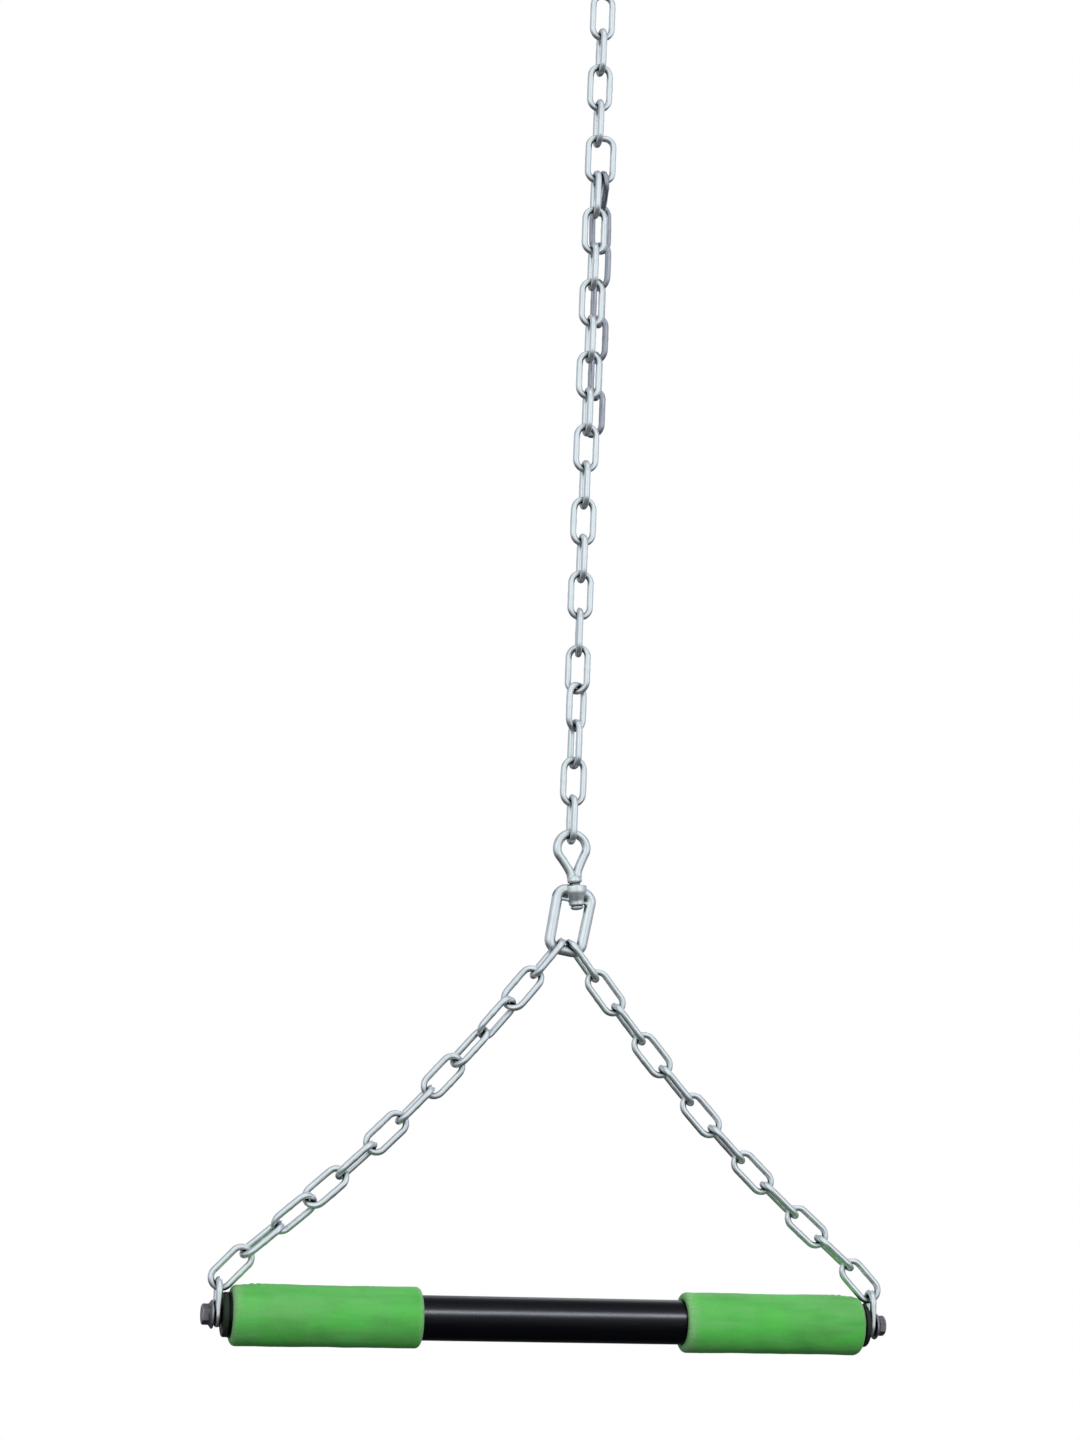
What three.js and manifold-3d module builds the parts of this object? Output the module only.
// Hanging trapeze bar: a drop chain, a swivel, a two-legged chain bridle and a padded grip bar.
// Millimetres, +Z up. +X runs along the bar towards its right end, +Y is the back.
// The origin is the hanging seat: the middle of the inside top crown of the first chain link.
// A "crown" is the round end of a link; its place is the centre of its wire.
import * as THREE from "three";
import { mergeVertices } from "three/addons/utils/BufferGeometryUtils.js";
import Module from "manifold-3d";

const wasm = await Module();
wasm.setup();
const rad = THREE.MathUtils.degToRad;

// ---------- chain dimensions ----------
const WIRE = 4.8; // chain wire diameter
const LINK_WIDTH = 10.0; // clear width inside a link
const GAP = 0.2; // play between two hooked wires
const PITCH = 27.7; // drop chain, link to link
const LEG_PITCH = 28.7; // bridle chain, link to link
const SIDE_STEP = 2.65; // half the distance between two strands on one crown

const WIRE_R = WIRE / 2;
const CROWN_R = LINK_WIDTH / 2 + WIRE_R; // centreline radius of a link end
const HOOK = WIRE + GAP; // wire centre to wire centre where two links hook
const LINK_LONG = PITCH + HOOK; // crown to crown
const LEG_LINK_LONG = LEG_PITCH + HOOK;

// ---------- facets ----------
const FACETS = {
  // around each round section
  chainWire: 6,
  swivelWire: 8,
  neck: 16,
  collar: 18,
  tube: 24,
  plug: 20,
  bolt: 18,
  boltCrown: 24,
};
const CROWN_CHORDS = 5; // chords round a link end, the middle one across the crown
const CROWN_CHORD_ANGLE = 180 / CROWN_CHORDS;

// ---------- materials ----------
// Each finish makes a fresh material for every mesh.
const finish = (settings) => () => new THREE.MeshStandardMaterial(settings);
const zinc = finish({ color: 0xc4c9ce, roughness: 0.35, metalness: 0.9 });
const brightZinc = finish({ color: 0xd2d6da, roughness: 0.3, metalness: 0.95 });
const blackCoat = finish({ color: 0x0c0c0f, roughness: 0.35, metalness: 0.1 });
const greenFoam = finish({ color: 0x52b648, roughness: 0.75, metalness: 0.0 });
const blackPlastic = finish({ color: 0x141815, roughness: 0.5, metalness: 0.0 });
const darkSteel = finish({ color: 0x55565c, roughness: 0.4, metalness: 0.8 });

// ---------- wire shapes ----------
// A closed polygonal loop, sampled exactly at its corners.
class Loop extends THREE.Curve {
  constructor(points) {
    super();
    this.points = points;
    const count = points.length;
    this.tangents = points.map((point, i) => {
      const before = point.clone().sub(points[(i + count - 1) % count]).normalize();
      const after = points[(i + 1) % count].clone().sub(point).normalize();
      return before.add(after).normalize();
    });
  }
  pick(list, t, target) {
    return target.copy(list[Math.round(t * list.length) % list.length]);
  }
  getPointAt(t, target = new THREE.Vector3()) {
    return this.pick(this.points, t, target);
  }
  getTangentAt(t, target = new THREE.Vector3()) {
    return this.pick(this.tangents, t, target);
  }
}

const pointXZ = (x, z) => new THREE.Vector3(x, 0, z);

// Corner radius of a regular polygon with the same area as a round wire.
const equalArea = (radius, sides) =>
  radius * Math.sqrt((2 * Math.PI) / (sides * Math.sin((2 * Math.PI) / sides)));

// Wire bent round a closed list of points.
function ring(points, radius, sides) {
  const path = new Loop(points);
  return new THREE.TubeGeometry(path, points.length, equalArea(radius, sides), sides, true);
}

// Points of one link end; sign is 1 for the upper end and -1 for the lower.
function crownPoints(centreZ, sign) {
  const cornerR = CROWN_R / Math.cos(rad(CROWN_CHORD_ANGLE / 2));
  const points = [pointXZ(sign * CROWN_R, centreZ)];
  for (let i = 1; i < CROWN_CHORDS; i++) {
    const angle = rad(i * CROWN_CHORD_ANGLE);
    const x = sign * cornerR * Math.cos(angle);
    const z = centreZ + sign * cornerR * Math.sin(angle);
    points.push(pointXZ(x, z));
  }
  points.push(pointXZ(-sign * CROWN_R, centreZ));
  return points;
}

// A chain link, long axis along Z, centred on the origin, lying in the XZ plane.
function linkGeometry(long) {
  const endZ = long / 2 - CROWN_R;
  return ring([...crownPoints(endZ, 1), ...crownPoints(-endZ, -1)], WIRE_R, FACETS.chainWire);
}

// A rounded rectangle of wire in the XZ plane; the half widths may differ top and bottom.
function wireFrame({ halfTop, halfLow, top, low, corner, radius, sides, steps }) {
  const points = [];
  const turnCorner = (centreX, centreZ, from) => {
    for (let i = 0; i <= steps; i++) {
      const angle = rad(from + (90 * i) / steps);
      const x = centreX + corner * Math.cos(angle);
      const z = centreZ + corner * Math.sin(angle);
      points.push(pointXZ(x, z));
    }
  };
  turnCorner(halfTop - corner, top - corner, 0);
  turnCorner(-halfTop + corner, top - corner, 90);
  turnCorner(-halfLow + corner, low + corner, 180);
  turnCorner(halfLow - corner, low + corner, 270);
  return ring(points, radius, sides);
}

// ---------- solids and meshes ----------
// A turned solid about Z from [radius, height] pairs; closed on the axis or on itself.
function turned(profile, sides) {
  const points = profile.map(([radius, height]) => new THREE.Vector2(radius, height));
  return new THREE.LatheGeometry(points, sides).rotateX(Math.PI / 2);
}

// Vertices merged, empty faces dropped and the rest pointing out.
function tidy(geometry) {
  const bare = geometry.clone();
  bare.deleteAttribute("normal");
  bare.deleteAttribute("uv");
  const merged = mergeVertices(bare, 1e-4);
  const { position } = merged.attributes;
  const corners = [new THREE.Vector3(), new THREE.Vector3(), new THREE.Vector3()];
  const faces = [];
  let volume = 0;
  for (let i = 0; i < merged.index.count; i += 3) {
    const face = [0, 1, 2].map((j) => merged.index.getX(i + j));
    if (new Set(face).size < 3) continue;
    corners.forEach((corner, j) => corner.fromBufferAttribute(position, face[j]));
    volume += corners[0].dot(corners[1].cross(corners[2]));
    faces.push(face);
  }
  merged.setIndex(faces.flatMap(([a, b, c]) => (volume < 0 ? [a, c, b] : [a, b, c])));
  merged.computeVertexNormals();
  return merged;
}

function solid(geometry) {
  const clean = tidy(geometry);
  return new wasm.Manifold(
    new wasm.Mesh({
      numProp: 3,
      vertProperties: new Float32Array(clean.attributes.position.array),
      triVerts: new Uint32Array(clean.index.array),
    }),
  );
}

function geometryOf(manifold) {
  const mesh = manifold.getMesh();
  const geometry = new THREE.BufferGeometry();
  const positions = new Float32Array(mesh.vertProperties);
  geometry.setAttribute("position", new THREE.BufferAttribute(positions, 3));
  geometry.setIndex(new THREE.BufferAttribute(new Uint32Array(mesh.triVerts), 1));
  geometry.computeVertexNormals();
  return geometry;
}

const object = new THREE.Group();

function add(parent, name, geometry, material) {
  const mesh = new THREE.Mesh(geometry, material());
  mesh.name = name;
  parent.add(mesh);
  return mesh;
}

// A group in the XZ plane; a positive lean takes its bottom towards -X.
function frameAt(parent, x, z, leanDegrees = 0) {
  const group = new THREE.Group();
  group.position.set(x, 0, z);
  group.rotation.y = rad(leanDegrees);
  parent.add(group);
  return group;
}

const twoDigits = (number) => String(number).padStart(2, "0");

// ---------- drop chain ----------
const DROP_LINKS = 23;
const CONNECTOR_INDEX = 5; // place of the rectangular connector link
const CONNECTOR_WIDTH = 14.4; // clear width inside it
const CONNECTOR_CORNER = 6.8; // centreline corner radius
// Below the twisted links, the face-on and edge-on links change places.
const TWIST_START = 18;
const TWIST_TURNS = [80, 147, 213, 280]; // degrees about the chain, from link TWIST_START on

// Drop of the first link's upper crown that puts its faceted inside face at z = 0.
const TOP_CROWN_Z =
  equalArea(WIRE_R, FACETS.chainWire) *
  Math.cos(Math.PI / FACETS.chainWire) *
  Math.cos(rad(CROWN_CHORD_ANGLE / 2));
const crownZ = (i) => TOP_CROWN_Z - (i - 1) * PITCH; // upper crown of link i

function dropTurn(i) {
  const faceOnParity = i < TWIST_START ? 1 : 0;
  return TWIST_TURNS[i - TWIST_START] ?? (i % 2 === faceOnParity ? 0 : 90);
}

function connectorGeometry() {
  const half = CONNECTOR_WIDTH / 2 + WIRE_R;
  const frame = wireFrame({
    halfTop: half,
    halfLow: half,
    top: LINK_LONG / 2,
    low: -LINK_LONG / 2,
    corner: CONNECTOR_CORNER,
    radius: WIRE_R,
    sides: FACETS.chainWire,
    steps: 3,
  });
  return tidy(frame);
}

function addDropChain() {
  const link = tidy(linkGeometry(LINK_LONG));
  for (let i = 1; i <= DROP_LINKS; i++) {
    const z = crownZ(i) - LINK_LONG / 2;
    if (i === CONNECTOR_INDEX) {
      const connector = add(object, "connector_link", connectorGeometry(), zinc);
      connector.position.set(SIDE_STEP, 0, z);
      continue;
    }
    const name = i === 1 ? "top_link" : `chain_link_${twoDigits(i)}`;
    const mesh = add(object, name, link, zinc);
    mesh.position.z = z;
    mesh.rotation.z = rad(dropTurn(i));
  }
}
addDropChain();

// ---------- spare strand, hanging from the connector link ----------
const SPARE_X = 5.9; // sideways place of its first hook
// lean of each link in degrees: [back, towards +X]
const SPARE_LEANS = [[50, 8], [10.5, 4.2], [0, 0], [0, 0], [0, 0], [0, 0], [0, 0]];
const SPARE_SPLIT = 4; // the strand is two stiff lengths, parted after this many links
const SPARE_WELD = 0.8; // inside one length, links close up by this much and join

// Direction down spare link k; past the last link it is straight down.
function spareDirection(k) {
  const [back, aside] = (SPARE_LEANS[k] ?? [0, 0]).map(rad);
  return new THREE.Vector3(
    Math.cos(back) * Math.sin(aside),
    Math.sin(back),
    -Math.cos(back) * Math.cos(aside),
  );
}

// Each link hangs on the wire centre of the one above. Links on edge hook at the lowest point of
// their round end; face-on links hook at the middle of it.
function addSpareStrand() {
  const lengths = [[], []]; // links of the upper and the lower length
  let hook = pointXZ(SPARE_X, crownZ(CONNECTOR_INDEX) - LINK_LONG);
  SPARE_LEANS.forEach(([back, aside], k) => {
    const onEdge = k % 2 === 0;
    const down = spareDirection(k);
    const joined = k !== 0 && k !== SPARE_SPLIT;
    const crown = hook.clone().addScaledVector(down, -HOOK + (joined ? SPARE_WELD : 0));
    const link = linkGeometry(LINK_LONG);
    if (onEdge) link.rotateZ(Math.PI / 2);
    link.translate(0, 0, -LINK_LONG / 2);
    link.rotateX(rad(back));
    link.rotateY(-rad(aside));
    link.translate(crown.x, crown.y, crown.z);
    lengths[k < SPARE_SPLIT ? 0 : 1].push(solid(link));
    hook = crown.clone();
    if (onEdge) {
      hook.addScaledVector(down, LINK_LONG - CROWN_R);
      hook.addScaledVector(spareDirection(k + 1), CROWN_R);
    } else {
      hook.addScaledVector(down, LINK_LONG);
    }
  });
  ["upper", "lower"].forEach((word, i) => {
    const joinedLinks = lengths[i].reduce((whole, link) => whole.add(link));
    add(object, `spare_chain_${word}`, geometryOf(joinedLinks), zinc);
  });
}
addSpareStrand();

// ---------- swivel eye ----------
const EYE_WIRE = 6.6; // wire diameter
const EYE_RADIUS = 10.9; // centreline radius of the round top
const EYE_ARC = { from: -12, to: 192, step: 17 }; // degrees round the top
// one side of the eye below its round top: [half width, height from the round top's centre]
const EYE_LEG = [[7.6, -7.8], [2.3, -17.6]];
const EYE_NECK_R = 5.4; // neck where the eye's legs meet
const EYE_NECK_TOP = -22.5; // height of the neck's upper rim from the pivot
const EYE_NECK_DOME = 1.5; // rise of the neck's top face to the axis
const EYE_NECK_END = 31.8; // pivot to the reference end of the neck
const EYE_NECK_SHORT = 1.3; // the neck's underside stops this far above that end
const EYE_SHANK_R = 3.8; // shank through the bail
const EYE_HEAD_R = 4.8; // riveted head inside the bail
const EYE_TILT = 7.5; // degrees, neck towards +X
const SWIVEL_PLAY = 0.3; // allowance above and below the bail's collar

// The collar's faces, measured along the shank from the bail's top bar centre
const COLLAR_RISE = 4.3; // top face above it
const COLLAR_DROP = 10.6; // lower face below it

const PIVOT_Z = crownZ(DROP_LINKS) - LINK_LONG; // lower crown of the last link
const SEAT = EYE_NECK_END + SWIVEL_PLAY + COLLAR_RISE; // pivot to the bail's top bar centre

function eyeLoop() {
  const eyeTop = WIRE_R + EYE_WIRE / 2 + GAP; // eye wire centre above the pivot
  const centreZ = eyeTop - EYE_RADIUS;
  const points = [];
  for (let degrees = EYE_ARC.from; degrees <= EYE_ARC.to; degrees += EYE_ARC.step) {
    const angle = rad(degrees);
    const x = EYE_RADIUS * Math.cos(angle);
    points.push(pointXZ(x, centreZ + EYE_RADIUS * Math.sin(angle)));
  }
  points.push(...EYE_LEG.map(([x, z]) => pointXZ(-x, centreZ + z)));
  points.push(...EYE_LEG.map(([x, z]) => pointXZ(x, centreZ + z)).reverse());
  return solid(ring(points, EYE_WIRE / 2, FACETS.swivelWire));
}

function eyeNeck() {
  const neckLow = -EYE_NECK_END + EYE_NECK_SHORT;
  const headTop = -(SEAT + COLLAR_DROP + SWIVEL_PLAY);
  const profile = [
    [0, EYE_NECK_TOP + EYE_NECK_DOME],
    [EYE_NECK_R, EYE_NECK_TOP],
    [EYE_NECK_R, neckLow + 1.3],
    [EYE_NECK_R - 0.8, neckLow],
    [EYE_SHANK_R, neckLow],
    [EYE_SHANK_R, headTop],
    [EYE_HEAD_R - 0.3, headTop],
    [EYE_HEAD_R, headTop - 0.3],
    [EYE_HEAD_R, headTop - 1.4],
    [EYE_HEAD_R - 1.6, headTop - 2.7],
    [0, headTop - 3.1],
  ];
  return solid(turned(profile, FACETS.neck));
}

const eyeFrame = frameAt(object, 0, PIVOT_Z, -EYE_TILT);
add(eyeFrame, "swivel_eye", geometryOf(eyeLoop().add(eyeNeck())), brightZinc);

// ---------- swivel bail ----------
// Heights are from the top bar's centre.
const BAIL_WIRE = 8.0; // wire diameter
const BAIL_HALF_TOP = 12.7; // centreline half width at the top
const BAIL_HALF_LOW = 12.2; // centreline half width at the bottom
const BAIL_DROP = 44.0; // top bar centre to bottom bar centre
const BAIL_CORNER = 7.0; // centreline corner radius
const BAIL_LEAN = 9.0; // degrees, bottom towards -X
const COLLAR_R = 8.3; // collar round the shank, at the top
const COLLAR_LOW_R = 5.8; // and at its lower end
const BORE_R = 4.4;
const BORE_LENGTH = 40; // cutter, long enough to pass right through the collar
// thin bar under the top bar, joined to it by a web
const BRIDGE = { depth: 5.2, top: -6.2, low: -8.6 };
const WEB = { depth: 2.4, top: -1, low: BRIDGE.low + 1 };

const seatX = SEAT * Math.sin(rad(EYE_TILT));
const seatZ = PIVOT_Z - SEAT * Math.cos(rad(EYE_TILT));

// The collar and its bore follow the shank, not the bail.
const squareToShank = (geometry) => geometry.rotateY(-rad(EYE_TILT + BAIL_LEAN));

function bailCollar() {
  const profile = [
    [0, -COLLAR_DROP],
    [COLLAR_LOW_R - 0.4, -COLLAR_DROP],
    [COLLAR_LOW_R, -COLLAR_DROP + 0.5],
    [COLLAR_LOW_R, -COLLAR_DROP + 2],
    [COLLAR_R, -BAIL_WIRE / 2],
    [COLLAR_R, COLLAR_RISE - 0.8],
    [COLLAR_R - 0.8, COLLAR_RISE],
    [0, COLLAR_RISE],
  ];
  return solid(squareToShank(turned(profile, FACETS.collar)));
}

function bailBore() {
  const cutter = new THREE.CylinderGeometry(BORE_R, BORE_R, BORE_LENGTH, FACETS.collar);
  return solid(squareToShank(cutter.rotateX(Math.PI / 2)));
}

function bailSlab({ depth, top, low }) {
  const box = new THREE.BoxGeometry(2 * BAIL_HALF_TOP, depth, top - low);
  return solid(box.translate(0, 0, (top + low) / 2));
}

function bailGeometry() {
  const rim = wireFrame({
    halfTop: BAIL_HALF_TOP,
    halfLow: BAIL_HALF_LOW,
    top: 0,
    low: -BAIL_DROP,
    corner: BAIL_CORNER,
    radius: BAIL_WIRE / 2,
    sides: FACETS.swivelWire,
    steps: 4,
  });
  const bridge = bailSlab(BRIDGE).add(bailSlab(WEB));
  return geometryOf(solid(rim).add(bridge).add(bailCollar()).subtract(bailBore()));
}

add(frameAt(object, seatX, seatZ, BAIL_LEAN), "swivel_bail", bailGeometry(), brightZinc);

// ---------- bridle ----------
// lean of each link from the straight line between the leg's ends, in degrees: the legs sag
const LEG_SAG = [5.7, 4.8, 3.9, 2.8, 1.8, 0.4, -1.2, -2.8, -4.2, -5.5, -5.7, 0];
// turn of each link about its leg, in degrees; the left leg is twisted in two places
const LEFT_TURNS = [90, 157, 223, 290, 0, 90, 180, 247, 327, 34, 100, 180];
const RIGHT_TURNS = LEG_SAG.map((_, i) => (i % 2 === 0 ? 90 : 0));
const HALF_SPAN = 241.0; // bar centre to the end link's plane
const END_REACH = 24.0; // bolt axis to the end link's upper crown
const BOLT_R = 4.0; // M8 shank
const END_LINK_LONG = END_REACH + BOLT_R + WIRE_R + GAP;

// Upper crown of a leg's first link, on the bail's bottom bar; side is -1 left, 1 right.
function legStart(side) {
  const lean = rad(BAIL_LEAN);
  const x = side * SIDE_STEP;
  const z = -BAIL_DROP + BAIL_WIRE / 2 + WIRE_R + GAP;
  return {
    x: seatX + x * Math.cos(lean) + z * Math.sin(lean),
    z: seatZ - x * Math.sin(lean) + z * Math.cos(lean),
  };
}

// The bar hangs level. Each leg, moved sideways by half the span, puts the bar's centre on a
// circle; the bar hangs where the two circles meet, at their lower crossing.
// Returns that x, and the height of the end links' upper crowns.
function hangBar() {
  const legRun = LEG_SAG.reduce((sum, sag) => sum + LEG_PITCH * Math.cos(rad(sag)), 0);
  const left = legStart(-1);
  const right = legStart(1);
  const across = right.x - left.x - 2 * HALF_SPAN;
  const rise = right.z - left.z;
  const apart = Math.hypot(across, rise);
  const reach = Math.sqrt(legRun ** 2 - (apart / 2) ** 2);
  return {
    barX: (left.x + right.x) / 2 - (rise * reach) / apart,
    endZ: (left.z + right.z) / 2 + (across * reach) / apart,
  };
}
const { barX, endZ } = hangBar();

const legLink = tidy(linkGeometry(LEG_LINK_LONG));
const endLink = tidy(linkGeometry(END_LINK_LONG));

function addLeg(word, side, turns) {
  const start = legStart(side);
  const endX = barX + side * HALF_SPAN;
  const angle = THREE.MathUtils.radToDeg(Math.atan2(start.x - endX, start.z - endZ));
  const leg = frameAt(object, start.x, start.z, angle);
  let x = 0; // upper crown of the next link, in the leg's frame
  let z = 0;
  LEG_SAG.forEach((degrees, i) => {
    const sag = side * degrees;
    const frame = frameAt(leg, x, z, sag);
    const mesh = add(frame, `${word}_link_${twoDigits(i + 1)}`, legLink, zinc);
    mesh.position.z = -LEG_LINK_LONG / 2;
    mesh.rotation.z = rad(turns[i]);
    x -= LEG_PITCH * Math.sin(rad(sag));
    z -= LEG_PITCH * Math.cos(rad(sag));
  });
  const end = add(object, `${word}_end_link`, endLink, zinc);
  end.position.set(endX, 0, endZ - END_LINK_LONG / 2);
  end.rotation.z = Math.PI / 2;
}
addLeg("left", -1, LEFT_TURNS);
addLeg("right", 1, RIGHT_TURNS);

// ---------- grip bar ----------
// Pieces are turned about Z, with heights measured from the bar's centre, then laid along X.
const TUBE_R = 15.875; // 1 1/4 in steel tube
const TUBE_WALL = 2.0;
const TUBE_HALF = 234.0;
const BAR_FIT = 0.3; // clearance of the grips and plugs on the tube
const GRIP_R = 21.8; // foam grip outer radius
const GRIP_INNER = 97.0; // end nearer the bar's centre
const GRIP_OUTER = 232.0; // end farther from it
const GRIP_ROUND = 5.0; // rounding of the outer end's rim
const GRIP_ROUND_STEPS = 4;
const PLUG_FACE = 237.9; // outer face of the end plug
const PLUG_DEPTH = 24.0; // outer face to the spigot's inner end
const PLUG_LIP_R = TUBE_R - 0.3;
const BOLT_HOLE_R = 4.4;
const BOLT_SEAT = 244.1; // underside of the bolt flange
const BOLT_FLANGE_R = 10.0;
const BOLT_FLANGE_EDGE = 1.4; // thickness of the flange at its rim
const BOLT_FLANGE_RISE = 3.6; // height of the sloped flange where it meets the head
const BOLT_HEAD_AF = 13.0; // across flats
const BOLT_HEAD_START = 1; // the hexagon starts this far above the seat, inside the flange
const BOLT_END = 252.2; // outer face of the head
const BOLT_TIP = 208.0; // inner end of the shank

function tubeGeometry() {
  const inner = TUBE_R - TUBE_WALL;
  const profile = [
    [TUBE_R, -TUBE_HALF],
    [TUBE_R, TUBE_HALF],
    [inner, TUBE_HALF],
    [inner, -TUBE_HALF],
    [TUBE_R, -TUBE_HALF],
  ];
  return turned(profile, FACETS.tube);
}

function gripGeometry() {
  const bore = TUBE_R + BAR_FIT;
  const profile = [
    [bore, GRIP_INNER],
    [GRIP_R - 1.6, GRIP_INNER],
    [GRIP_R - 0.4, GRIP_INNER + 0.6],
    [GRIP_R, GRIP_INNER + 1.8],
  ];
  for (let i = 0; i <= GRIP_ROUND_STEPS; i++) {
    const angle = rad((90 * i) / GRIP_ROUND_STEPS);
    const radius = GRIP_R - GRIP_ROUND + GRIP_ROUND * Math.cos(angle);
    profile.push([radius, GRIP_OUTER - GRIP_ROUND + GRIP_ROUND * Math.sin(angle)]);
  }
  profile.push([bore, GRIP_OUTER], [bore, GRIP_INNER]);
  return turned(profile, FACETS.tube);
}

function plugGeometry() {
  const spigot = TUBE_R - TUBE_WALL - BAR_FIT;
  const inner = PLUG_FACE - PLUG_DEPTH;
  const lip = TUBE_HALF + BAR_FIT;
  const profile = [
    [BOLT_HOLE_R, inner],
    [spigot - 0.8, inner],
    [spigot, inner + 1.5],
    [spigot, lip],
    [PLUG_LIP_R, lip],
    [PLUG_LIP_R, PLUG_FACE - 1.2],
    [PLUG_LIP_R - 1.2, PLUG_FACE],
    [BOLT_HOLE_R, PLUG_FACE],
    [BOLT_HOLE_R, inner],
  ];
  return turned(profile, FACETS.plug);
}

function boltShank() {
  const profile = [
    [0, BOLT_TIP],
    [BOLT_R - 0.6, BOLT_TIP],
    [BOLT_R, BOLT_TIP + 0.8],
    [BOLT_R, BOLT_SEAT],
    [BOLT_FLANGE_R, BOLT_SEAT],
    [BOLT_FLANGE_R, BOLT_SEAT + BOLT_FLANGE_EDGE],
    [BOLT_HEAD_AF / 2, BOLT_SEAT + BOLT_FLANGE_RISE],
    [0, BOLT_SEAT + BOLT_FLANGE_RISE],
  ];
  return solid(turned(profile, FACETS.bolt));
}

// A hexagon with its outer corners chamfered by a turned envelope.
function boltHead() {
  const cornerR = BOLT_HEAD_AF / 2 / Math.cos(rad(30));
  const height = BOLT_END - BOLT_SEAT - BOLT_HEAD_START;
  const hexagon = new THREE.CylinderGeometry(cornerR, cornerR, height, 6)
    .rotateX(Math.PI / 2)
    .translate(0, 0, BOLT_END - height / 2);
  const envelope = [
    [0, BOLT_SEAT],
    [cornerR + 2, BOLT_SEAT],
    [cornerR + 2, BOLT_END - 2],
    [BOLT_HEAD_AF / 2 - 0.3, BOLT_END],
    [0, BOLT_END],
  ];
  return solid(hexagon).intersect(solid(turned(envelope, FACETS.boltCrown)));
}

const bar = frameAt(object, barX, endZ - END_REACH);

// Lays a turned piece along the bar, its +Z towards +X (side 1) or -X (side -1).
function addToBar(name, geometry, side, material) {
  add(bar, name, tidy(geometry.rotateY((side * Math.PI) / 2)), material);
}

addToBar("bar_tube", tubeGeometry(), 1, blackCoat);
for (const [word, side] of [["left", -1], ["right", 1]]) {
  addToBar(`${word}_grip`, gripGeometry(), side, greenFoam);
  addToBar(`${word}_plug`, plugGeometry(), side, blackPlastic);
  addToBar(`${word}_bolt`, geometryOf(boltShank().add(boltHead())), side, darkSteel);
}

export default object;
